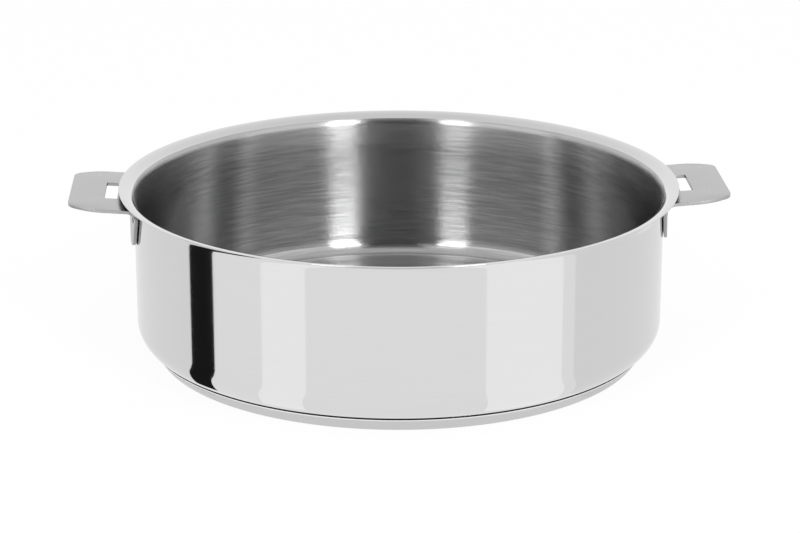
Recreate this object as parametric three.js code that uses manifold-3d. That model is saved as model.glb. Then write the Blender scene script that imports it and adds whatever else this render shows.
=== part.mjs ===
// Stainless saute pan of the removable-handle kind.
// Millimetres, +Z up, origin on the table under the middle of the base.
// Seen from the front (from -Y) the right bracket points along +X and the left one along -X.

import * as THREE from 'three';
import { mergeVertices } from 'three/addons/utils/BufferGeometryUtils.js';
import Module from 'manifold-3d';

const wasm = await Module();
wasm.setup();

// Sizes of the bowl
const boreDiameter = 280;
const overallHeight = 91.5;
const shellSheet = 0.8;
const lipRadius = 8.3;
const cornerRadius = 13.5;

// Sizes of the base
const capSheet = 0.6;
const discThickness = 5.5;
const capRise = 7;
const capFlankAngle = THREE.MathUtils.degToRad(53.5);
const capCornerRadius = 2.7;
const grooveGap = 0.45;
const discEdgeThickness = 0.5;
const discContactInset = 1;

// Sizes of the handle brackets
const bracketSheet = 1.75;
const bracketStandOff = 0.5;
const bendRadius = 5;
const tabDrop = 3.6;
const tabRise = THREE.MathUtils.degToRad(4.25);
const tabOverhang = 25.1;
const tabWidth = 71.8;
const tabBowSetBack = 12.1;
const tabBowRadius = 25;
const tabEndWidth = 57.2;
const tabCornerRadius = 7.5;
const slotLength = 29.2;
const slotWidth = 6.45;
const slotSetBack = 0.85;
const slotCornerRadius = 0.8;
const flangeDepth = 23.5;
const flangeShoulderRise = 4.6;
const flangeFootWidth = 50;
const flangeFootRadius = 11;

// Sizes of the welds
const weldDiameter = 4.6;
const weldBelowBend = 2.2;
const weldEdgeDistance = 4;
const weldBite = 0.6;
const weldDimpleDepth = 0.5;
const weldDimpleDiameter = 4;

// Clearance between pieces that are formed round each other
const seatClearance = 0.3;

// Facets
const bowlFacets = 64;
const bracketFacets = 144;
const arcSteps = 6;
const weldFacets = 20;
const cutterMargin = 2;

// Heights and radii that several pieces share
const boreRadius = boreDiameter / 2;
const wallRadius = boreRadius + shellSheet;
const shellBottom = capSheet + discThickness;
const floorHeight = shellBottom + shellSheet;
const cornerCentre = new THREE.Vector2(wallRadius - cornerRadius, shellBottom + cornerRadius);
const lipCentre = new THREE.Vector2(boreRadius + lipRadius, overallHeight - lipRadius);
const rimRadius = lipCentre.x + shellSheet / 2;

function polar(centre, radius, angle) {
  return new THREE.Vector2(centre.x + radius * Math.cos(angle), centre.y + radius * Math.sin(angle));
}

// Points of a round stretch of a profile, both ends included.
function arc(centre, radius, from, to, steps = arcSteps) {
  const points = [];
  for (let step = 0; step <= steps; step += 1) {
    points.push(polar(centre, radius, from + ((to - from) * step) / steps));
  }
  return points;
}

// A body turned about the Z axis from a profile of radius and height.
function turned(profile, facets) {
  const geometry = new THREE.LatheGeometry(profile, facets);
  geometry.rotateX(Math.PI / 2);
  return geometry;
}

// A closed outline whose corners [x, y, radius] are rounded by arcs tangent to both sides.
// No corner takes more than half of the shorter side that meets it.
function roundedOutline(corners, PathClass = THREE.Shape) {
  const outline = new PathClass();
  corners.forEach(([x, y, radius], index) => {
    const corner = new THREE.Vector2(x, y);
    const before = corners.at(index - 1);
    const after = corners[(index + 1) % corners.length];
    const back = new THREE.Vector2(before[0], before[1]).sub(corner);
    const ahead = new THREE.Vector2(after[0], after[1]).sub(corner);
    const shorterSide = Math.min(back.length(), ahead.length());
    back.normalize();
    ahead.normalize();
    const half = Math.acos(back.dot(ahead)) / 2;
    const run = Math.min(radius / Math.tan(half), shorterSide / 2);
    const start = corner.clone().addScaledVector(back, run);
    if (index === 0) outline.moveTo(start.x, start.y);
    else outline.lineTo(start.x, start.y);
    if (run === 0) return;
    const middle = back.clone().add(ahead).normalize();
    const centre = corner.clone().addScaledVector(middle, run / Math.cos(half));
    const end = corner.clone().addScaledVector(ahead, run);
    const from = start.clone().sub(centre).angle();
    const to = end.clone().sub(centre).angle();
    const clockwise = back.cross(ahead) > 0;
    outline.absarc(centre.x, centre.y, run * Math.tan(half), from, to, clockwise);
  });
  outline.closePath();
  return outline;
}

function toSolid(geometry) {
  const plain = geometry.clone();
  plain.deleteAttribute('normal');
  plain.deleteAttribute('uv');
  const merged = mergeVertices(plain);
  return new wasm.Manifold(new wasm.Mesh({
    numProp: 3,
    vertProperties: merged.attributes.position.array,
    triVerts: Uint32Array.from(merged.index.array),
  }));
}

function toGeometry(solid) {
  const { vertProperties, triVerts } = solid.getMesh();
  const geometry = new THREE.BufferGeometry();
  geometry.setAttribute('position', new THREE.BufferAttribute(vertProperties, 3));
  geometry.setIndex(new THREE.BufferAttribute(triVerts, 1));
  const faceted = geometry.toNonIndexed();
  faceted.computeVertexNormals();
  return faceted;
}

function steel(color, roughness) {
  return new THREE.MeshStandardMaterial({ color, roughness, metalness: 1 });
}

// Bowl: flat bottom, corner, vertical wall and a lip that rolls out to the horizontal,
// drawn from one sheet, so the inner face follows the outer one.
function shellProfile() {
  const bottomTurn = [-Math.PI / 2, 0];
  const lipTurn = [Math.PI, Math.PI / 2];
  const lipEdge = new THREE.Vector2(lipCentre.x, overallHeight - shellSheet / 2);
  return [
    new THREE.Vector2(0, shellBottom),
    ...arc(cornerCentre, cornerRadius, ...bottomTurn, arcSteps + 2),
    ...arc(lipCentre, lipRadius - shellSheet, ...lipTurn),
    ...arc(lipEdge, shellSheet / 2, -Math.PI / 2, Math.PI / 2, 4).slice(1),
    ...arc(lipCentre, lipRadius, lipTurn[1], lipTurn[0]).slice(1),
    ...arc(cornerCentre, cornerRadius - shellSheet, bottomTurn[1], bottomTurn[0], arcSteps + 2),
    new THREE.Vector2(0, floorHeight),
  ];
}

// Cap: its flank runs straight down and in from a narrow groove under the corner of the bowl.
// The edge of its sheet is cut to follow that corner.
const flankUp = new THREE.Vector2(Math.cos(capFlankAngle), Math.sin(capFlankAngle));
const flankIn = new THREE.Vector2(-flankUp.y, flankUp.x);

// The place where a line along the flank first comes this near to the centre of the corner,
// or the nearest place where it passes further off.
function flankMeets(point, distance) {
  const fromCorner = point.clone().sub(cornerCentre);
  const along = fromCorner.dot(flankUp);
  const across = fromCorner.dot(flankIn);
  const halfChord = Math.sqrt(Math.max(0, distance ** 2 - across ** 2));
  return point.clone().addScaledVector(flankUp, -along - halfChord);
}

const grooveRadius = cornerRadius + grooveGap;
const grooveReach = Math.sqrt(grooveRadius ** 2 - (cornerCentre.y - capRise) ** 2);
const flankTopInside = new THREE.Vector2(cornerCentre.x + grooveReach, capRise);
const flankOutside = flankTopInside.clone().addScaledVector(flankIn, -capSheet);
const flankTopOutside = flankMeets(flankOutside, grooveRadius);
const flankRun = flankTopOutside.y / Math.tan(capFlankAngle);
const capFootRadius = flankTopOutside.x - flankRun - capCornerRadius * Math.tan(capFlankAngle / 2);
const capCornerCentre = new THREE.Vector2(capFootRadius, capCornerRadius);
const capTurn = [-Math.PI / 2, capFlankAngle - Math.PI / 2];

function capProfile() {
  return [
    new THREE.Vector2(0, 0),
    ...arc(capCornerCentre, capCornerRadius, ...capTurn),
    flankTopOutside,
    flankTopInside,
    ...arc(capCornerCentre, capCornerRadius - capSheet, capTurn[1], capTurn[0]),
    new THREE.Vector2(0, capSheet),
  ];
}

// Core: flat against the bowl and the cap, with an upturned edge that fills the wedge between
// the corner of the bowl and the flank of the cap, down to a blunt rim.
function discProfile() {
  const edgeOnFlank = flankMeets(flankTopInside, cornerRadius + discEdgeThickness + 2 * seatClearance);
  const edgeLow = edgeOnFlank.clone().addScaledVector(flankIn, seatClearance);
  const edgeAngle = edgeOnFlank.clone().sub(cornerCentre).angle() - 2 * Math.PI;
  return [
    new THREE.Vector2(0, capSheet),
    new THREE.Vector2(capFootRadius - discContactInset, capSheet),
    ...arc(capCornerCentre, capCornerRadius - capSheet - seatClearance, ...capTurn),
    edgeLow,
    ...arc(cornerCentre, cornerRadius + seatClearance, edgeAngle, -Math.PI / 2),
    new THREE.Vector2(cornerCentre.x - discContactInset, shellBottom),
    new THREE.Vector2(0, shellBottom),
  ];
}

// Bracket: a flat tab that climbs a little from under the lip, bent down into a flange
// that follows the wall.
const flangeInside = wallRadius + bracketStandOff;
const flangeOutside = flangeInside + bracketSheet;
const tabTop = overallHeight - tabDrop;
const tabUnder = tabTop - bracketSheet;
const bendCentre = new THREE.Vector2(flangeOutside + bendRadius, tabUnder - bendRadius);
const flangeFoot = tabTop - flangeDepth;
const flangeShoulder = bendCentre.y + flangeShoulderRise;
const tabEnd = rimRadius + tabOverhang;
const tabStart = Math.sqrt(bendCentre.x ** 2 - (tabWidth / 2) ** 2);
const slotStart = bendCentre.x + slotSetBack;
const bracketSweep = Math.hypot(tabEnd, tabWidth / 2) + cutterMargin;

function bracketProfile() {
  return [
    new THREE.Vector2(flangeOutside, flangeFoot),
    ...arc(bendCentre, bendRadius, Math.PI, Math.PI / 2),
    new THREE.Vector2(bracketSweep, tabUnder),
    new THREE.Vector2(bracketSweep, tabTop),
    ...arc(bendCentre, bendRadius + bracketSheet, Math.PI / 2, Math.PI),
    new THREE.Vector2(flangeInside, flangeFoot),
    new THREE.Vector2(flangeOutside, flangeFoot),
  ];
}

// Plan of the tab, with long edges that bow in towards its end, and its slot.
function tabOutline() {
  const root = flangeInside - tabWidth / 2;
  const bow = tabEnd - tabBowSetBack;
  const outline = roundedOutline([
    [root, -tabWidth / 2, 0],
    [bow, -tabWidth / 2, tabBowRadius],
    [tabEnd, -tabEndWidth / 2, tabCornerRadius],
    [tabEnd, tabEndWidth / 2, tabCornerRadius],
    [bow, tabWidth / 2, tabBowRadius],
    [root, tabWidth / 2, 0],
  ]);
  outline.holes.push(roundedOutline([
    [slotStart, -slotLength / 2, slotCornerRadius],
    [slotStart, slotLength / 2, slotCornerRadius],
    [slotStart + slotWidth, slotLength / 2, slotCornerRadius],
    [slotStart + slotWidth, -slotLength / 2, slotCornerRadius],
  ], THREE.Path));
  return outline;
}

// Front view of the flange, which narrows from the tab to a rounded foot.
function flangeOutline() {
  return roundedOutline([
    [-tabWidth / 2, flangeShoulder, 0],
    [-flangeFootWidth / 2, flangeFoot, flangeFootRadius],
    [flangeFootWidth / 2, flangeFoot, flangeFootRadius],
    [tabWidth / 2, flangeShoulder, 0],
    [tabWidth / 2, tabTop + cutterMargin, 0],
    [-tabWidth / 2, tabTop + cutterMargin, 0],
  ]);
}

// Welds stand in one row just below the bend, the outer ones near the slanting edges of the flange.
const weldHeight = bendCentre.y - weldBelowBend;
const weldRowShare = (weldHeight - flangeFoot) / (flangeShoulder - flangeFoot);
const weldRowWidth = THREE.MathUtils.lerp(flangeFootWidth, tabWidth, weldRowShare);
const weldRowHalf = weldRowWidth / 2 - weldEdgeDistance;
const weldAngle = Math.asin(weldRowHalf / flangeInside);
const weldTurns = [-weldAngle, 0, weldAngle];

// A piece on the X axis at the height of the welds, turned round the pan.
function atWeld(geometry, radius, turn) {
  return geometry.translate(radius, 0, weldHeight).rotateZ(turn);
}

function roundAlongX(diameter, length) {
  return new THREE.CylinderGeometry(diameter / 2, diameter / 2, length, weldFacets).rotateZ(Math.PI / 2);
}

// Lifts everything beyond the bend in step with its distance, so that the tab stays flat and climbs.
function raiseTab(geometry) {
  const position = geometry.getAttribute('position');
  for (let index = 0; index < position.count; index += 1) {
    const beyondBend = Math.max(0, position.getX(index) - tabStart);
    position.setZ(index, position.getZ(index) + beyondBend * Math.tan(tabRise));
  }
  geometry.computeVertexNormals();
  return geometry;
}

function bracketGeometry() {
  const tabCutter = new THREE.ExtrudeGeometry(tabOutline(), {
    depth: flangeDepth + 2 * cutterMargin, bevelEnabled: false, curveSegments: arcSteps,
  });
  tabCutter.translate(0, 0, flangeFoot - cutterMargin);
  const flangeCutter = new THREE.ExtrudeGeometry(flangeOutline(), {
    depth: bracketSweep, bevelEnabled: false, curveSegments: arcSteps,
  });
  const acrossX = new THREE.Matrix4().makeBasis(
    new THREE.Vector3(0, 1, 0),
    new THREE.Vector3(0, 0, 1),
    new THREE.Vector3(1, 0, 0),
  );
  flangeCutter.applyMatrix4(acrossX);
  let bracket = toSolid(turned(bracketProfile(), bracketFacets))
    .intersect(toSolid(tabCutter))
    .intersect(toSolid(flangeCutter));
  const dimpleRadius = ((weldDimpleDiameter / 2) ** 2 + weldDimpleDepth ** 2) / (2 * weldDimpleDepth);
  const pocketDiameter = weldDiameter + 2 * seatClearance;
  for (const turn of weldTurns) {
    const pocket = atWeld(roundAlongX(pocketDiameter, 2 * weldBite), flangeInside, turn);
    const ball = new THREE.SphereGeometry(dimpleRadius, weldFacets, weldFacets / 2);
    const dimple = atWeld(ball, flangeOutside + dimpleRadius - weldDimpleDepth, turn);
    bracket = bracket.subtract(toSolid(pocket)).subtract(toSolid(dimple));
  }
  return raiseTab(toGeometry(bracket));
}

// Weld slug: from the wall of the bowl into its pocket in the flange.
function weldGeometry() {
  const inner = wallRadius + seatClearance;
  const outer = flangeInside + weldBite - seatClearance;
  return roundAlongX(weldDiameter, outer - inner).translate((inner + outer) / 2, 0, weldHeight);
}

const pan = new THREE.Group();

function addPiece(parent, name, geometry, material) {
  const piece = new THREE.Mesh(geometry, material);
  piece.name = name;
  parent.add(piece);
  return piece;
}

addPiece(pan, 'pan_shell', turned(shellProfile(), bowlFacets), steel('#d3d4d6', 0.18));
addPiece(pan, 'diffuser_disc', turned(discProfile(), bowlFacets), steel('#b9bcc0', 0.55));
addPiece(pan, 'base_cap', turned(capProfile(), bowlFacets), steel('#c6c8ca', 0.3));

const sides = { right: 0, left: Math.PI };
for (const [side, turn] of Object.entries(sides)) {
  const bracketGroup = new THREE.Group();
  bracketGroup.rotation.z = turn;
  addPiece(bracketGroup, `${side}_bracket`, bracketGeometry(), steel('#bebfc1', 0.4));
  pan.add(bracketGroup);
  weldTurns.forEach((weldTurn) => {
    const weldGroup = new THREE.Group();
    weldGroup.rotation.z = turn + weldTurn;
    const ahead = Math.sin(turn + weldTurn);
    const place = weldTurn === 0 ? 'middle' : ahead < 0 ? 'front' : 'rear';
    addPiece(weldGroup, `${side}_weld_${place}`, weldGeometry(), steel('#9a9c9f', 0.5));
    pan.add(weldGroup);
  });
}

export default pan;
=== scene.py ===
# %% [markdown]
# # A stainless saute pan in a white studio
# The CAD model gives every piece its size and place. This lesson dresses it: the bowl, the base dish
# and the two handle plates are modelled again with fine, smooth surfaces, and every piece gets a finish
# made from nodes.

# %% Load the frame
import math

import bpy
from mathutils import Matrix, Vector


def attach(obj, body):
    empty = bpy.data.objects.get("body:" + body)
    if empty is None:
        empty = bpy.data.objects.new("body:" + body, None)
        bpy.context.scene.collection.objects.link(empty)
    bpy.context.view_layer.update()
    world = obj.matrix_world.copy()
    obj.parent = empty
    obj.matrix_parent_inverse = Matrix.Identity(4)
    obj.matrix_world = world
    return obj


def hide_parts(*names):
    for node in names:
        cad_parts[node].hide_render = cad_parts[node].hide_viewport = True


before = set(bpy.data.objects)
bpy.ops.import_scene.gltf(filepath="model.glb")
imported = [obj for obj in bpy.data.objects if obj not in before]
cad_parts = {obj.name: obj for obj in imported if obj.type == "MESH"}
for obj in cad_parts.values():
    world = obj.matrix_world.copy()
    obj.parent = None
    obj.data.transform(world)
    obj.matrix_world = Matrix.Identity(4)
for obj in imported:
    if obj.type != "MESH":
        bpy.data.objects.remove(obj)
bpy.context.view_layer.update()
MM = 0.001

# %% [markdown]
# ## Camera
# A product photograph like this is taken from far away with a long lens, so the rim stays a calm
# ellipse. The camera looks down by about 18 degrees, and the pan is turned a little against it: the
# brackets are not quite level.

# %% Camera
CAMERA_PLACE = (-0.0651, -1.3631, 0.4890)
CAMERA_TILT = math.radians(71.93)
CAMERA_TURN = math.radians(-2.76)

bpy.ops.object.select_all(action="DESELECT")
bpy.ops.object.camera_add(location=CAMERA_PLACE, rotation=(CAMERA_TILT, 0, CAMERA_TURN))
camera = bpy.context.object
camera.data.lens = 120
camera.data.sensor_width = 36
bpy.context.scene.camera = camera
bpy.context.scene.view_settings.view_transform = "Standard"
print("camera distance in m:", round(camera.location.length, 3))

# %% [markdown]
# ## Modelling helpers
# Most of the pan is turned or drawn sheet, so its pieces start the way one would sketch them: a single
# vertex is pulled along a profile by extruding, and the finished line is spun round the Z axis.

# %% Profile helpers


def arc(centre, radius, start, end, steps, height=None):
    """Points in millimetres on a round or oval stretch of a profile, with both ends, angles in degrees."""
    rise = height or radius
    points = []
    for step in range(steps + 1):
        angle = math.radians(start + (end - start) * step / steps)
        points.append((centre[0] + radius * math.cos(angle), centre[1] + rise * math.sin(angle)))
    return points


def draw_profile(name, points):
    """Extrudes one vertex along points of radius and height, and leaves the new piece in edit mode."""
    bpy.ops.object.select_all(action="DESELECT")
    bpy.ops.mesh.primitive_plane_add(size=1 * MM)
    piece = bpy.context.object
    piece.name = piece.data.name = name
    bpy.ops.object.mode_set(mode="EDIT")
    bpy.ops.mesh.select_all(action="SELECT")
    bpy.ops.mesh.merge(type="CENTER")
    here = (0, 0)
    for index, point in enumerate(points):
        move = ((point[0] - here[0]) * MM, 0, (point[1] - here[1]) * MM)
        if index == 0:
            bpy.ops.transform.translate(value=move)
        else:
            bpy.ops.mesh.extrude_region_move(TRANSFORM_OT_translate={"value": move})
        here = point
    bpy.ops.mesh.select_all(action="SELECT")
    return piece


def spin_closed(piece, steps):
    """Spins the profile that is open in edit mode into a closed body with its faces outwards."""
    bpy.ops.mesh.spin(steps=steps, angle=math.tau, center=(0, 0, 0), axis=(0, 0, 1))
    bpy.ops.mesh.select_all(action="SELECT")
    bpy.ops.mesh.remove_doubles(threshold=0.001 * MM)
    bpy.ops.mesh.normals_make_consistent(inside=False)
    bpy.ops.object.mode_set(mode="OBJECT")
    bpy.ops.object.shade_smooth_by_angle(angle=math.radians(35))
    print(piece.name, "faces:", len(piece.data.polygons))


def dress(piece, *finishes):
    """Gives a piece its finishes, one per material slot."""
    piece.data.materials.clear()
    for finish in finishes:
        piece.data.materials.append(finish)


def paint_stretches(piece, stretches):
    """Gives every face the slot of the stretch of the section that it was spun from."""
    middles = {}
    before = None
    for slot, points in stretches:
        for point in points:
            if before:
                middles[(before[0] + point[0]) / 2, (before[1] + point[1]) / 2] = slot
            before = point
    known = {}

    def slot_of(radius, z):
        place = (round(radius, 3), round(z, 3))
        if place not in known:
            known[place] = middles[min(middles, key=lambda middle: math.dist(middle, place))]
        return known[place]

    paint_faces(piece, slot_of)


def joined(stretches):
    """All points of the stretches as one line."""
    return [point for slot, points in stretches for point in points]


def paint_faces(piece, slot_of):
    """Sets each face's material slot from the radius and height of its middle, in millimetres."""
    for face in piece.data.polygons:
        x, y, z = face.center
        face.material_index = slot_of(math.hypot(x, y) / MM, z / MM)


# %% [markdown]
# ## Finishes
# Stainless steel shows almost only what it reflects, so the finishes differ mostly in how they blur the
# reflection, and some greys are set apart from the steel's own to paint light and shade onto it. The
# outside is polished to a mirror. The inside is brushed in rings, which smears every light upwards and
# downwards.
# Ring patterns read the distance from the axis and the height, so the lines run round the pan wherever
# they are.

# %% Finish helpers


def new_finish(name):
    """A material with an empty node tree apart from its shader and output."""
    finish = bpy.data.materials.new(name)
    finish.use_nodes = True
    nodes = finish.node_tree.nodes
    shader = nodes["Principled BSDF"]
    return finish, nodes, finish.node_tree.links, shader


def math_node(nodes, links, operation, first, second=None):
    """A Math node whose inputs are numbers or sockets; gives back its output."""
    node = nodes.new("ShaderNodeMath")
    node.operation = operation
    for socket, value in zip(node.inputs, (first, second)):
        if value is None:
            continue
        if isinstance(value, (int, float)):
            socket.default_value = value
        else:
            links.new(value, socket)
    return node.outputs[0]


def ring_lines(nodes, links, fineness, round_scale, detail=3.0):
    """Noise drawn out along rings round the Z axis: fine across the rings and long along them."""
    place = nodes.new("ShaderNodeTexCoord")
    parts = nodes.new("ShaderNodeSeparateXYZ")
    links.new(place.outputs["Object"], parts.inputs[0])
    x, y, z = parts.outputs
    squares = math_node(nodes, links, "ADD", math_node(nodes, links, "MULTIPLY", x, x),
                        math_node(nodes, links, "MULTIPLY", y, y))
    radius = math_node(nodes, links, "SQRT", squares)
    safe = math_node(nodes, links, "MAXIMUM", radius, 0.0001)
    along_wall = math_node(nodes, links, "ADD", radius, z)
    drawn_out = nodes.new("ShaderNodeCombineXYZ")
    cosine = math_node(nodes, links, "DIVIDE", x, safe)
    sine = math_node(nodes, links, "DIVIDE", y, safe)
    links.new(math_node(nodes, links, "MULTIPLY", cosine, round_scale), drawn_out.inputs[0])
    links.new(math_node(nodes, links, "MULTIPLY", sine, round_scale), drawn_out.inputs[1])
    links.new(math_node(nodes, links, "MULTIPLY", along_wall, fineness), drawn_out.inputs[2])
    noise = nodes.new("ShaderNodeTexNoise")
    noise.inputs["Scale"].default_value = 1.0
    noise.inputs["Detail"].default_value = detail
    links.new(drawn_out.outputs[0], noise.inputs["Vector"])
    return noise.outputs["Fac"], radius, z


def spread(nodes, links, value, low, high, from_low=0.3, from_high=0.7):
    """Maps a value to the range from low to high."""
    node = nodes.new("ShaderNodeMapRange")
    node.inputs["From Min"].default_value = from_low
    node.inputs["From Max"].default_value = from_high
    node.inputs["To Min"].default_value = low
    node.inputs["To Max"].default_value = high
    links.new(value, node.inputs["Value"])
    return node.outputs["Result"]


def grey_between(nodes, links, value, dark, light):
    """A colour between two greys, set by a value from 0 to 1."""
    ramp = nodes.new("ShaderNodeValToRGB")
    ramp.color_ramp.elements[0].position = 0.25
    ramp.color_ramp.elements[1].position = 0.75
    ramp.color_ramp.elements[0].color = (*dark, 1)
    ramp.color_ramp.elements[1].color = (*light, 1)
    links.new(value, ramp.inputs["Fac"])
    return ramp.outputs["Color"]


def bump(nodes, links, shader, height, strength, distance):
    """Shades fine relief from a height pattern."""
    node = nodes.new("ShaderNodeBump")
    node.inputs["Strength"].default_value = strength
    node.inputs["Distance"].default_value = distance
    links.new(height, node.inputs["Height"])
    links.new(node.outputs["Normal"], shader.inputs["Normal"])


# %% Polished steel
def polished_steel(name, grey):
    finish, nodes, links, shader = new_finish(name)
    shader.inputs["Metallic"].default_value = 1.0
    lines, radius, z = ring_lines(nodes, links, 900, 3)
    dark, light = grey - 0.005, grey + 0.005
    links.new(grey_between(nodes, links, lines, (dark,) * 3, (light,) * 3), shader.inputs["Base Color"])
    links.new(spread(nodes, links, lines, 0.05, 0.07), shader.inputs["Roughness"])
    return finish


# %% Brushed steel
def brushed_steel(name, grey, painted_light_grey_at_top, rough, rough_at_top):
    finish, nodes, links, shader = new_finish(name)
    shader.inputs["Metallic"].default_value = 1.0
    shader.distribution = "GGX"
    shader.inputs["Anisotropic"].default_value = 1.0
    shader.inputs["Anisotropic Rotation"].default_value = 0.25
    tangent = nodes.new("ShaderNodeTangent")
    tangent.direction_type = "RADIAL"
    tangent.axis = "Z"
    links.new(tangent.outputs["Tangent"], shader.inputs["Tangent"])
    lines, radius, z = ring_lines(nodes, links, 1000, 7, detail=3)
    # Painted light: the grey rises from the wall's grey to a lighter grey between 70 and 87 mm up,
    # lightening the top of the wall.
    shade = spread(nodes, links, z, grey, painted_light_grey_at_top, 0.07, 0.087)
    shade = math_node(nodes, links, "ADD", shade, spread(nodes, links, lines, -0.045, 0.045))
    links.new(shade, shader.inputs["Base Color"])
    wear = spread(nodes, links, z, rough, rough_at_top, 0.03, 0.085)
    wear = math_node(nodes, links, "ADD", wear, spread(nodes, links, lines, -0.012, 0.012))
    links.new(wear, shader.inputs["Roughness"])
    bump(nodes, links, shader, lines, 0.02, 0.00002)
    return finish


# %% Satin steel
def satin_steel(name, grey, rough):
    finish, nodes, links, shader = new_finish(name)
    shader.inputs["Metallic"].default_value = 1.0
    place = nodes.new("ShaderNodeTexCoord")
    noise = nodes.new("ShaderNodeTexNoise")
    noise.inputs["Scale"].default_value = 1400
    noise.inputs["Detail"].default_value = 4
    links.new(place.outputs["Object"], noise.inputs["Vector"])
    grain = noise.outputs["Fac"]
    dark, light = grey - 0.02, grey + 0.02
    links.new(grey_between(nodes, links, grain, (dark,) * 3, (light,) * 3), shader.inputs["Base Color"])
    links.new(spread(nodes, links, grain, rough - 0.05, rough + 0.05), shader.inputs["Roughness"])
    bump(nodes, links, shader, grain, 0.08, 0.00004)
    return finish


# %% Core aluminium and welds
def core_aluminium():
    finish, nodes, links, shader = new_finish("core_aluminium")
    shader.inputs["Metallic"].default_value = 1.0
    lines, radius, z = ring_lines(nodes, links, 700, 4)
    shade = grey_between(nodes, links, lines, (0.42, 0.43, 0.45), (0.58, 0.59, 0.61))
    links.new(shade, shader.inputs["Base Color"])
    links.new(spread(nodes, links, lines, 0.5, 0.65), shader.inputs["Roughness"])
    return finish


def weld_steel():
    finish, nodes, links, shader = new_finish("weld_steel")
    shader.inputs["Metallic"].default_value = 1.0
    place = nodes.new("ShaderNodeTexCoord")
    noise = nodes.new("ShaderNodeTexNoise")
    noise.inputs["Scale"].default_value = 900
    links.new(place.outputs["Object"], noise.inputs["Vector"])
    blotches = noise.outputs["Fac"]
    shade = grey_between(nodes, links, blotches, (0.16, 0.155, 0.15), (0.36, 0.35, 0.345))
    links.new(shade, shader.inputs["Base Color"])
    links.new(spread(nodes, links, blotches, 0.4, 0.65), shader.inputs["Roughness"])
    return finish


# %% [markdown]
# ## The set of finishes
# Each finish is made once, from its grey and its roughness. The brushed ones take a second grey and
# roughness for the top of the wall; on the inside wall the second grey is lighter, painted light. Some
# greys
# are painted light and shade: the inside wall is a dark grey and the inside floor a light one though the
# bowl is one sheet, the dish rim is a lighter polished grey as a painted highlight, and the near-black
# finish paints shade on the plates' wall side, in their dimples and on the bowl at its foot.

# %% Make the finishes
POLISHED = polished_steel("polished_steel", 0.68)
# Polished steel in a lighter grey for the band at the dish's rim: a painted highlight.
RIM_PAINTED_HIGHLIGHT = polished_steel("rim_painted_highlight", 0.86)
# The inside wall: a dark grey as painted shade, lighter at the top as painted light.
BRUSHED_PAINTED_SHADE_AND_LIGHT = brushed_steel("brushed_steel", 0.32, 0.52, 0.24, 0.26)
# A light brushed grey, painted light on the inside floor, which is the same sheet as the darker wall; the
# dish's underside takes it too.
BRUSHED_PAINTED_LIGHT = brushed_steel("brushed_painted_light", 0.8, 0.8, 0.2, 0.2)
BUFFED = brushed_steel("buffed_steel", 0.45, 0.45, 0.155, 0.155)
SATIN = satin_steel("satin_steel", 0.475, 0.3)
CUT_EDGE = satin_steel("cut_edge", 0.43, 0.4)
CAP_SATIN = satin_steel("cap_satin", 0.56, 0.4)
# Near-black steel: painted shade on the plates' side facing the wall, in their dimples, and on the bowl
# behind and just above the dish.
PAINTED_SHADE = satin_steel("painted_shade_steel", 0.06, 0.5)
CORE = core_aluminium()
WELD = weld_steel()
print("finishes:", [finish.name for finish in bpy.data.materials if finish.users])

# %% [markdown]
# ## The bowl
# The bowl is drawn from one sheet. Its outside is a flat bottom, a generous corner, an upright wall and a
# lip that rolls out to the horizontal. Its inside has a corner of its own, a little tighter. The sheet is
# thickest at the wall and thins out towards the edge of the lip.

# %% Bowl
TURN_STEPS = 192
SHEET = 0.8
BORE = 140.0
WALL = BORE + SHEET
HEIGHT = 91.5
LIP = 8.3
CORNER = 13.5
BOWL_BOTTOM = 6.1
FLOOR = 6.45
INNER_CORNER = 12.4
LIP_DEPTH, UNDER_DEPTH = 6.5, 4.8
LIP_EDGE = 0.4
CORNER_MIDDLE = (WALL - CORNER, BOWL_BOTTOM + CORNER)
INNER_MIDDLE = (BORE - INNER_CORNER, FLOOR + INNER_CORNER)
LIP_MIDDLE = (BORE + LIP, HEIGHT - LIP_DEPTH)
UNDER_MIDDLE = (BORE + LIP, HEIGHT - LIP_EDGE - UNDER_DEPTH)
# A ring of vertices half way along the flat stretches, and one close to each bend.
BOTTOM_RING, WALL_RING = 60, 50
EASE = 1.5
# Turns in degrees: where the painted shade at the foot starts, how far the lip is polished, and where the
# corner is buffed.
PAINTED_SHADE_FROM = 52
POLISHED_LIP_TURN = 55
BUFFED_FROM, BUFFED_TO = 27, 60


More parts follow.
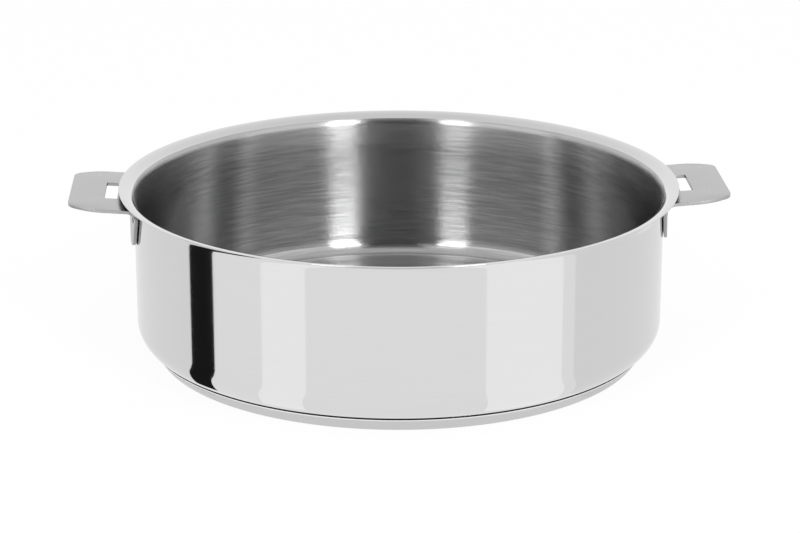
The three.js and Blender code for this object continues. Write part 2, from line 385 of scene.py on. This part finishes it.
def bowl_stretches():
    """Slots: 0 polished; 1 brushed wall, dark as painted shade and lighter at the top as painted light; 2
    buffed inner corner; 3 brushed floor, light as painted light; 4 near-black, painted shade behind and
    just above the dish.
    """
    lip_edge = (BORE + LIP + (SHEET - LIP_EDGE) / 2, HEIGHT - LIP_EDGE / 2)
    polished_to = 90 + POLISHED_LIP_TURN
    return [
        (4, [(0, BOWL_BOTTOM), (BOTTOM_RING, BOWL_BOTTOM), (CORNER_MIDDLE[0] - EASE, BOWL_BOTTOM),
             *arc(CORNER_MIDDLE, CORNER, -90, -PAINTED_SHADE_FROM, 11)]),
        (0, [*arc(CORNER_MIDDLE, CORNER, -PAINTED_SHADE_FROM, 0, 19)[1:],
             (WALL, CORNER_MIDDLE[1] + EASE), (WALL, WALL_RING), (WALL, UNDER_MIDDLE[1] - EASE),
             *arc(UNDER_MIDDLE, LIP - SHEET, 180, 90, 24, UNDER_DEPTH),
             *arc(lip_edge, LIP_EDGE / 2, -90, 90, 8),
             *arc(LIP_MIDDLE, LIP, 90, polished_to, 24, LIP_DEPTH)]),
        (1, [*arc(LIP_MIDDLE, LIP, polished_to, 180, 16, LIP_DEPTH)[1:],
             (BORE, LIP_MIDDLE[1] - EASE), (BORE, WALL_RING), (BORE, INNER_MIDDLE[1] + EASE),
             *arc(INNER_MIDDLE, INNER_CORNER, 0, -BUFFED_FROM, 9)]),
        (2, arc(INNER_MIDDLE, INNER_CORNER, -BUFFED_FROM, -BUFFED_TO, 12)[1:]),
        (3, [*arc(INNER_MIDDLE, INNER_CORNER, -BUFFED_TO, -90, 11)[1:],
             (INNER_MIDDLE[0] - EASE, FLOOR), (BOTTOM_RING, FLOOR), (0, FLOOR)]),
    ]


bowl = draw_profile("bowl", joined(bowl_stretches()))
spin_closed(bowl, TURN_STEPS)
dress(bowl, POLISHED, BRUSHED_PAINTED_SHADE_AND_LIGHT, BUFFED, BRUSHED_PAINTED_LIGHT, PAINTED_SHADE)
paint_stretches(bowl, bowl_stretches())
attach(bowl, "root")
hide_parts("pan_shell")

# %% [markdown]
# ## The base dish
# A thinner dish closes in the heat-spreading core. Its flank leans in towards the table, and its upper
# edge stops just short of the bowl, which leaves the thin dark line round the foot of the pan. The bowl
# just above the dish is painted near-black, painted shade that widens this line, and a band at the top of
# the flank is polished and given a lighter grey, a painted highlight.

# %% Base dish
DISH_SHEET = 0.6
DISH_RISE = 7.0
DISH_LEAN = 53.5
DISH_CORNER = 2.7
GROOVE = 0.5
PAINTED_HIGHLIGHT_BAND = 0.8
RIM_EASE = 0.1


def dish_profile():
    """Radius of the flat underside, height of the rim, and the section of the dish."""
    lean = math.radians(DISH_LEAN)
    up = Vector((math.cos(lean), math.sin(lean)))
    inward = Vector((-up.y, up.x))
    corner = Vector(CORNER_MIDDLE)
    groove = CORNER + GROOVE
    reach = math.sqrt(groove ** 2 - (corner.y - DISH_RISE) ** 2)
    inside_top = Vector((corner.x + reach, DISH_RISE))
    outside = inside_top - DISH_SHEET * inward - corner
    climb = -outside.dot(up) - math.sqrt(groove ** 2 - outside.dot(inward) ** 2)
    outside_top = corner + outside + climb * up
    foot = outside_top.x - outside_top.y / math.tan(lean) - DISH_CORNER * math.tan(lean / 2)
    middle = (foot, DISH_CORNER)
    turn = (-90, DISH_LEAN - 90)
    end_face = (inside_top - outside_top).normalized()
    return foot, outside_top.y, [
        (0, 0), (BOTTOM_RING, 0), (foot - EASE, 0),
        *arc(middle, DISH_CORNER, *turn, 12),
        outside_top - PAINTED_HIGHLIGHT_BAND / up.y * up,
        outside_top - RIM_EASE * up, outside_top + RIM_EASE * end_face, inside_top,
        *arc(middle, DISH_CORNER - DISH_SHEET, turn[1], turn[0], 12),
        (foot - EASE, DISH_SHEET), (BOTTOM_RING, DISH_SHEET), (0, DISH_SHEET),
    ]


dish_foot, dish_top, dish_points = dish_profile()
dish = draw_profile("base_dish", dish_points)
spin_closed(dish, TURN_STEPS)
dress(dish, CAP_SATIN, BRUSHED_PAINTED_LIGHT, RIM_PAINTED_HIGHLIGHT)
# The band at the top of the flank takes the lighter polished grey: a painted highlight on the rim.
paint_faces(dish, lambda radius, z: 1 if radius < dish_foot else 2 if z > dish_top - PAINTED_HIGHLIGHT_BAND else 0)
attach(dish, "root")
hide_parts("base_cap")

# %% [markdown]
# ## The handle plates
# Each bracket is a stamped plate: a flat tab with a slot for a clip-on handle, bent down into a flange
# that follows the wall. It is modelled as sheet metal is made. A thin strip is spun through a small angle,
# trimmed with straight cuts that follow its outline, mirrored, thickened and pierced, and its edges are
# eased so that they catch the light. Its side towards the wall and its dimples are painted near-black as
# painted shade.

# %% Handle plate
PLATE = 1.75
STAND_OFF = 0.5
FLANGE_FACE = WALL + STAND_OFF
BEND = 5.0
TAB_DROP = 3.6
TAB_TOP = HEIGHT - TAB_DROP
TAB_RISE = math.tan(math.radians(4.25))
BEND_MIDDLE = (FLANGE_FACE + PLATE + BEND, TAB_TOP - PLATE - BEND)
FLANGE_DEPTH, SHOULDER_RISE = 23.5, 4.6
FLANGE_FOOT = TAB_TOP - FLANGE_DEPTH
FLANGE_SHOULDER = BEND_MIDDLE[1] + SHOULDER_RISE
TAB_HALF, TAB_END_HALF, FOOT_HALF = 35.9, 28.6, 25.0
TAB_START = math.sqrt(BEND_MIDDLE[0] ** 2 - TAB_HALF ** 2)
TAB_OVERHANG, TAB_TAPER = 25.1, 12.1
TAB_END = BORE + LIP + SHEET / 2 + TAB_OVERHANG
TAB_BOW = TAB_END - TAB_TAPER
BOW_RADIUS, END_RADIUS, FOOT_RADIUS = 25, 7.5, 11
SLOT_SETBACK = 0.85
SLOT_START = BEND_MIDDLE[0] + SLOT_SETBACK
SLOT_WIDTH, SLOT_LENGTH = 6.85, 29.2
SLOT_CUT, SLOT_CORNER = 8, 0.8
WELD_BELOW_BEND, WELD_INSET = 2.2, 4.0
WELD_HEIGHT = BEND_MIDDLE[1] - WELD_BELOW_BEND
DIMPLE_ABOVE_WELD = 2.0
DIMPLE_HEIGHT = WELD_HEIGHT + DIMPLE_ABOVE_WELD
DIMPLE_DEPTH, DIMPLE_WIDTH = 0.5, 4.0
EDGE_EASE = 0.3
WELD_SHARE = (WELD_HEIGHT - FLANGE_FOOT) / (FLANGE_SHOULDER - FLANGE_FOOT)
WELD_HALF = FOOT_HALF + (TAB_HALF - FOOT_HALF) * WELD_SHARE - WELD_INSET


def rounded_cuts(before, corner, after, radius, steps):
    """Points and directions of straight cuts that round the corner of an outline."""
    corner = Vector(corner)
    back, ahead = (Vector(before) - corner).normalized(), (Vector(after) - corner).normalized()
    half = back.angle(ahead) / 2
    run = radius / math.tan(half)
    middle = corner + (back + ahead).normalized() * (radius / math.sin(half))
    start = (corner + back * run - middle).normalized()
    end = (corner + ahead * run - middle).normalized()
    cuts = []
    for step in range(steps + 1):
        direction = start.slerp(end, step / steps)
        cuts.append((middle + direction * radius, direction))
    return cuts


def trim(point, direction):
    """Cuts off what lies beyond a plane, in millimetres."""
    bpy.ops.mesh.select_all(action="SELECT")
    bpy.ops.mesh.bisect(plane_co=Vector(point) * MM, plane_no=direction, clear_outer=True,
                        threshold=0.0005 * MM)


def plate_sheet(name):
    """Half of the plate as a thin sheet: the face towards the wall and the top of the tab."""
    profile = [
        (FLANGE_FACE, FLANGE_FOOT), (FLANGE_FACE, WELD_HEIGHT), (FLANGE_FACE, BEND_MIDDLE[1] - 0.5),
        *arc(BEND_MIDDLE, BEND + PLATE, 180, 90, 12),
        (BEND_MIDDLE[0] + 0.5, TAB_TOP), (TAB_END + 8, TAB_TOP),
    ]
    plate = draw_profile(name, profile)
    bpy.ops.mesh.spin(steps=24, angle=math.radians(17), center=(0, 0, 0), axis=(0, 0, 1))
    side = math.copysign(1, sum(vertex.co.y for vertex in plate_vertices(plate)))
    root = (FLANGE_FACE - TAB_HALF, TAB_HALF)
    bow = (TAB_BOW, TAB_HALF)
    end = (TAB_END, TAB_END_HALF)
    bow_cuts = rounded_cuts(root, bow, end, BOW_RADIUS, 10)
    end_cuts = rounded_cuts(bow, end, (TAB_END, 0), END_RADIUS, 10)
    for point, direction in bow_cuts + end_cuts:
        trim((point.x, side * point.y, 0), (direction.x, side * direction.y, 0))
    shoulder = (TAB_HALF, FLANGE_SHOULDER)
    foot = (FOOT_HALF, FLANGE_FOOT)
    for point, direction in rounded_cuts(shoulder, foot, (0, FLANGE_FOOT), FOOT_RADIUS, 12)[:-1]:
        trim((0, side * point.x, point.y), (0, side * direction.x, direction.y))
    bpy.ops.object.mode_set(mode="OBJECT")
    return plate


def plate_vertices(plate):
    """The vertices as they are now, while the plate is in edit mode."""
    plate.update_from_editmode()
    return plate.data.vertices


def finish_with(piece, kind, **settings):
    """Adds a modifier, sets it and applies it."""
    modifier = piece.modifiers.new(kind.title(), kind)
    for key, value in settings.items():
        setattr(modifier, key, value)
    bpy.context.view_layer.objects.active = piece
    bpy.ops.object.modifier_apply(modifier=modifier.name)


def slot_cutter():
    """A block with eased upright edges where the handle's tongue goes through."""
    bpy.ops.object.select_all(action="DESELECT")
    bpy.ops.mesh.primitive_cube_add(size=1)
    cutter = bpy.context.object
    bpy.ops.object.mode_set(mode="EDIT")
    bpy.ops.transform.resize(value=(SLOT_WIDTH * MM, SLOT_LENGTH * MM, SLOT_CUT * MM))
    bpy.ops.transform.translate(value=((SLOT_START + SLOT_WIDTH / 2) * MM, 0, TAB_TOP * MM))
    bpy.ops.mesh.select_all(action="DESELECT")
    bpy.ops.object.mode_set(mode="OBJECT")
    for edge in cutter.data.edges:
        ends = [cutter.data.vertices[i].co for i in edge.vertices]
        edge.select = abs(ends[0].z - ends[1].z) > 1 * MM
    bpy.ops.object.mode_set(mode="EDIT")
    bpy.ops.mesh.select_mode(type="EDGE")
    bpy.ops.mesh.bevel(offset=SLOT_CORNER * MM, segments=4)
    bpy.ops.mesh.select_mode(type="VERT")
    bpy.ops.object.mode_set(mode="OBJECT")
    dress(cutter, SATIN, CUT_EDGE)
    paint_faces(cutter, lambda radius, z: 1)
    return cutter


def dimple_cutter(angle):
    """A ball that presses a shallow dimple just above a weld; the dimple's faces are painted near-black as
    painted shade.
    """
    radius = ((DIMPLE_WIDTH / 2) ** 2 + DIMPLE_DEPTH ** 2) / (2 * DIMPLE_DEPTH)
    reach = FLANGE_FACE + PLATE + radius - DIMPLE_DEPTH
    place = Vector((reach * math.cos(angle), reach * math.sin(angle), DIMPLE_HEIGHT)) * MM
    bpy.ops.object.select_all(action="DESELECT")
    bpy.ops.mesh.primitive_uv_sphere_add(radius=radius * MM, segments=48, ring_count=24)
    ball = bpy.context.object
    bpy.ops.object.mode_set(mode="EDIT")
    bpy.ops.transform.translate(value=place)
    bpy.ops.object.mode_set(mode="OBJECT")
    dress(ball, SATIN, CUT_EDGE, PAINTED_SHADE)
    # The dimple takes the near-black finish: painted shade.
    paint_faces(ball, lambda radius, z: 2)
    return ball


def paint_shade_on_wall_side(plate):
    """Paints the side of the flange and of the bend that faces the wall near-black: painted shade under the
    lip and behind the flange.
    """
    for face in plate.data.polygons:
        x, y, z = face.center / MM
        radius = math.hypot(x, y)
        outward = Vector((x / radius, y / radius, 0))
        if z < BEND_MIDDLE[1]:
            towards_wall = radius < FLANGE_FACE + 0.2 and face.normal.dot(outward) < -0.7
        else:
            from_bend = outward * (radius - BEND_MIDDLE[0]) + Vector((0, 0, z - BEND_MIDDLE[1]))
            beyond = from_bend.length > BEND + PLATE - 0.2 and radius < BEND_MIDDLE[0]
            towards_wall = beyond and face.normal.dot(from_bend.normalized()) > 0.7
        if towards_wall:
            face.material_index = 2


def handle_plate(name):
    """The whole right-hand plate, from half a sheet to eased edges."""
    plate = plate_sheet(name)
    finish_with(plate, "MIRROR", use_axis=(False, True, False), merge_threshold=0.01 * MM)
    bpy.ops.object.select_all(action="DESELECT")
    plate.select_set(True)
    bpy.ops.object.mode_set(mode="EDIT")
    bpy.ops.mesh.select_all(action="SELECT")
    bpy.ops.mesh.normals_make_consistent(inside=False)
    bpy.ops.object.mode_set(mode="OBJECT")
    top = max(plate.data.polygons, key=lambda face: face.center.x)
    towards_bend = -1 if top.normal.z > 0 else 1
    # Slot 2, the near-black finish, is painted shade on the side that faces the wall.
    dress(plate, SATIN, CUT_EDGE, PAINTED_SHADE)
    finish_with(plate, "SOLIDIFY", thickness=PLATE * MM, offset=towards_bend, use_even_offset=True,
                material_offset_rim=1)
    weld_angle = math.asin(WELD_HALF / FLANGE_FACE)
    cutters = [slot_cutter()] + [dimple_cutter(turn * weld_angle) for turn in (-1, 0, 1)]
    for cutter in cutters:
        finish_with(plate, "BOOLEAN", operation="DIFFERENCE", solver="EXACT", object=cutter)
        bpy.data.objects.remove(cutter)
    finish_with(plate, "BEVEL", width=EDGE_EASE * MM, segments=3, limit_method="ANGLE",
                angle_limit=math.radians(35))
    paint_shade_on_wall_side(plate)
    for vertex in plate.data.vertices:
        vertex.co.z += max(0, vertex.co.x - TAB_START * MM) * TAB_RISE
    bpy.ops.object.select_all(action="DESELECT")
    plate.select_set(True)
    bpy.ops.object.shade_smooth_by_angle(angle=math.radians(35))
    print(name, "faces:", len(plate.data.polygons))
    return plate


right_plate = handle_plate("right_plate")
bpy.ops.object.duplicate()
left_plate = bpy.context.object
left_plate.name = left_plate.data.name = "left_plate"
left_plate.rotation_euler.z = math.pi
bpy.ops.object.transform_apply(location=False, rotation=True, scale=False)
for plate, node in ((right_plate, "right_bracket"), (left_plate, "left_bracket")):
    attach(plate, "root")
    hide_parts(node)

# %% [markdown]
# ## The pieces that stay
# The core under the floor and the weld slugs are right as they are in the CAD model. They only get their
# finishes.

# %% Finishes of the inner pieces
for name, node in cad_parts.items():
    if name == "diffuser_disc":
        dress(node, CORE)
    elif "_weld_" in name:
        dress(node, WELD)
print("dressed CAD nodes:", [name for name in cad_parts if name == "diffuser_disc" or "_weld_" in name])

# %% [markdown]
# ## The studio
# A white floor and a white surround make the bright outside and the bright lip. The inside of the pan is
# darker because it faces dark boards round the camera and its wall takes a dark grey, painted shade, with
# two tall soft lamps beside it that draw the two bright bands.

# %% Studio helpers
PAN_MIDDLE = Vector((0, 0, 0.06))


def round_the_pan(azimuth, distance, height):
    """A place seen from the pan: azimuth 0 is straight in front, and it grows to the right."""
    angle = math.radians(azimuth)
    return Vector((distance * math.sin(angle), -distance * math.cos(angle), height))


def board_finish(name, grey):
    """An even grey that gives its own light."""
    finish, nodes, links, shader = new_finish(name)
    nodes.remove(shader)
    glow = nodes.new("ShaderNodeEmission")
    glow.inputs["Color"].default_value = (grey, grey, grey, 1)
    links.new(glow.outputs[0], nodes["Material Output"].inputs["Surface"])
    return finish


def reflected_only(board):
    """A board that shows only as a reflection, and throws no shadow."""
    board.visible_camera = False
    board.visible_shadow = False
    board.visible_diffuse = False


def soft_lamp(name, place, width, height, power, target=PAN_MIDDLE):
    """An upright area lamp that faces the pan."""
    bpy.ops.object.select_all(action="DESELECT")
    bpy.ops.object.light_add(type="AREA", location=place)
    lamp = bpy.context.object
    lamp.name = name
    lamp.data.shape = "RECTANGLE"
    lamp.data.size, lamp.data.size_y = width, height
    lamp.data.energy = power
    lamp.rotation_euler = (target - place).to_track_quat("-Z", "Y").to_euler()
    lamp.visible_camera = False
    return lamp


# %% [markdown]
# ## Floor
# The floor is pale. Seen by the camera or in the steel it is almost white, and the rest of it takes the
# shadow of the pan.

# %% Floor
FLOOR_SIZE = 12
FLOOR_WHITE = 0.92


def floor_finish():
    """Pale and rough, and mostly plain white to the camera and to reflections."""
    finish, nodes, links, shader = new_finish("white_floor")
    shader.inputs["Base Color"].default_value = (0.9, 0.9, 0.9, 1)
    shader.inputs["Roughness"].default_value = 0.8
    path = nodes.new("ShaderNodeLightPath")
    seen = math_node(nodes, links, "MAXIMUM", path.outputs["Is Camera Ray"], path.outputs["Is Glossy Ray"])
    seen = math_node(nodes, links, "MAXIMUM", seen, path.outputs["Is Transmission Ray"])
    glow = nodes.new("ShaderNodeEmission")
    mix = nodes.new("ShaderNodeMixShader")
    links.new(math_node(nodes, links, "MULTIPLY", seen, FLOOR_WHITE), mix.inputs["Fac"])
    links.new(shader.outputs[0], mix.inputs[1])
    links.new(glow.outputs[0], mix.inputs[2])
    links.new(mix.outputs[0], nodes["Material Output"].inputs["Surface"])
    return finish


bpy.ops.object.select_all(action="DESELECT")
bpy.ops.mesh.primitive_plane_add(size=FLOOR_SIZE)
floor = bpy.context.object
floor.name = "floor"
dress(floor, floor_finish())
print("floor in m:", FLOOR_SIZE)

# %% [markdown]
# ## Surround
# The world is white at the horizon and a little darker overhead.

# %% Surround
ZENITH = 0.82
HORIZON_TOP = math.sin(math.radians(18))

world = bpy.data.worlds.new("white_surround")
bpy.context.scene.world = world
world.use_nodes = True
sky_nodes, sky_links = world.node_tree.nodes, world.node_tree.links
surround = sky_nodes["Background"]
surround.inputs["Color"].default_value = (1, 1, 1, 1)
heading = sky_nodes.new("ShaderNodeTexCoord")
heading_parts = sky_nodes.new("ShaderNodeSeparateXYZ")
sky_links.new(heading.outputs["Generated"], heading_parts.inputs[0])
fall = spread(sky_nodes, sky_links, heading_parts.outputs[2], 1.0, ZENITH, HORIZON_TOP, 1.0)
sky_links.new(fall, surround.inputs["Strength"])
print("brightness overhead:", ZENITH)

# %% [markdown]
# ## Cards on the floor
# The camera looks down on the upright wall, so the polished wall mirrors the table round the pan. Five
# plain cards lie there, each in one even grey: a black one for the dark stripe, two bright ones, and a
# grey one at each side. Their sides fan out, so that they look upright in the wall.

# %% Cards on the floor
CARD_RISE = 1.0
CARD_INNER = 136.0
CARD_BEND = 60.0
CARD_LENGTH = 400.0
FOOT_TURN = 1.1
# For each card: two places on the wall, the headings that its two sides take from there, its brightness.
CARDS = (
    (-85, -50.9, -173.2, -103.8, 0.9),
    (-50.9, -43.8, -103.8, -89.1, 0.012),
    (-31.5, -21.7, -63.4, -42.8, 1.14),
    (15, 32.5, 34.7, 71.5, 1.14),
    (35.7, 82, 78.1, 172.7, 0.9),
)
for number, (left, right, left_heading, right_heading, brightness) in enumerate(CARDS, 1):
    bpy.ops.object.select_all(action="DESELECT")
    bpy.ops.mesh.primitive_grid_add(x_subdivisions=1, y_subdivisions=2, size=2)
    card = bpy.context.object
    card.name = f"floor_card_{number}"
    for vertex in card.data.vertices:
        azimuth, heading = (left, left_heading) if vertex.co.x < 0 else (right, right_heading)
        if vertex.co.y < -0.5:
            place = round_the_pan(azimuth * FOOT_TURN, CARD_INNER, CARD_RISE)
        else:
            reach = CARD_LENGTH if vertex.co.y > 0.5 else CARD_BEND
            place = round_the_pan(azimuth, WALL, CARD_RISE) + round_the_pan(heading, reach, 0)
        vertex.co = place * MM
    dress(card, board_finish(card.name, brightness))
    reflected_only(card)
print("cards on the floor:", len(CARDS))

# %% [markdown]
# ## Boards
# A ring of boards stands in front of the pan and beside it, dark apart from two light ones, and a dark
# canopy hangs over the camera's side. The inside of the pan mirrors them.

# %% Boards and canopy
BOARD_TOP = 1.8
SIDE_TOP = 0.25
BOARD_DISTANCE = 1.9
CANOPY_SIZE = (0.8, 1.15, 1)
CANOPY_PLACE = (0, -1.325, BOARD_TOP)
CANOPY_GREY = 0.14
# From azimuth, to azimuth, brightness.
BOARDS = (
    (-158, -80, 0.01), (-80, -34, 1.2), (-34, -16, 0.05),
    (-16, 12, 0.03), (12, 30, 0.05), (30, 73, 1.2), (73, 158, 0.01),
)


def board_azimuth(face):
    """Azimuth of the middle of a face, in degrees."""
    return math.degrees(math.atan2(face.center.x, -face.center.y))


bpy.ops.object.select_all(action="DESELECT")
bpy.ops.mesh.primitive_cylinder_add(vertices=180, radius=BOARD_DISTANCE, depth=BOARD_TOP,
                                    end_fill_type="NOTHING", location=(0, 0, BOARD_TOP / 2))
boards = bpy.context.object
boards.name = "dark_boards"
bpy.ops.object.transform_apply(location=True, rotation=False, scale=False)
bpy.ops.object.mode_set(mode="EDIT")
bpy.ops.mesh.select_all(action="DESELECT")
bpy.ops.object.mode_set(mode="OBJECT")
for face in boards.data.polygons:
    face.select = not BOARDS[0][0] <= board_azimuth(face) <= BOARDS[-1][1]
bpy.ops.object.mode_set(mode="EDIT")
bpy.ops.mesh.select_mode(type="FACE")
bpy.ops.mesh.delete(type="FACE")
bpy.ops.mesh.select_mode(type="VERT")
bpy.ops.object.mode_set(mode="OBJECT")
for vertex in boards.data.vertices:
    azimuth = math.degrees(math.atan2(vertex.co.x, -vertex.co.y))
    if vertex.co.z > 0 and not BOARDS[1][0] <= azimuth <= BOARDS[-1][0]:
        vertex.co.z = SIDE_TOP
dress(boards, *[board_finish(f"board_from_{start}", grey) for start, end, grey in BOARDS])
for face in boards.data.polygons:
    azimuth = board_azimuth(face)
    face.material_index = next(i for i, board in enumerate(BOARDS) if board[0] <= azimuth <= board[1])
reflected_only(boards)
print("boards:", len(BOARDS))

bpy.ops.object.select_all(action="DESELECT")
bpy.ops.mesh.primitive_plane_add(size=1)
canopy = bpy.context.object
canopy.name = "dark_canopy"
bpy.ops.object.mode_set(mode="EDIT")
bpy.ops.transform.resize(value=CANOPY_SIZE)
bpy.ops.transform.translate(value=CANOPY_PLACE)
bpy.ops.object.mode_set(mode="OBJECT")
dress(canopy, board_finish("canopy_black", CANOPY_GREY))
reflected_only(canopy)

# %% [markdown]
# ## Lamps
# Two tall lamps stand either side of the camera and draw the two bright bands on the brushed wall.

# %% Soft lamps
LAMP_DISTANCE, LAMP_RISE = 1.8, 0.8
LAMP_WIDTH, LAMP_HEIGHT = 0.40, 1.4
# Name, azimuth and power in watts.
LAMPS = (("right_soft_lamp", 25.0, 17), ("left_soft_lamp", -30.5, 11.4))
for name, azimuth, power in LAMPS:
    place = round_the_pan(azimuth, LAMP_DISTANCE, LAMP_RISE)
    lamp = soft_lamp(name, place, LAMP_WIDTH, LAMP_HEIGHT, power)
    print(lamp.name, "power in W:", round(lamp.data.energy, 1))
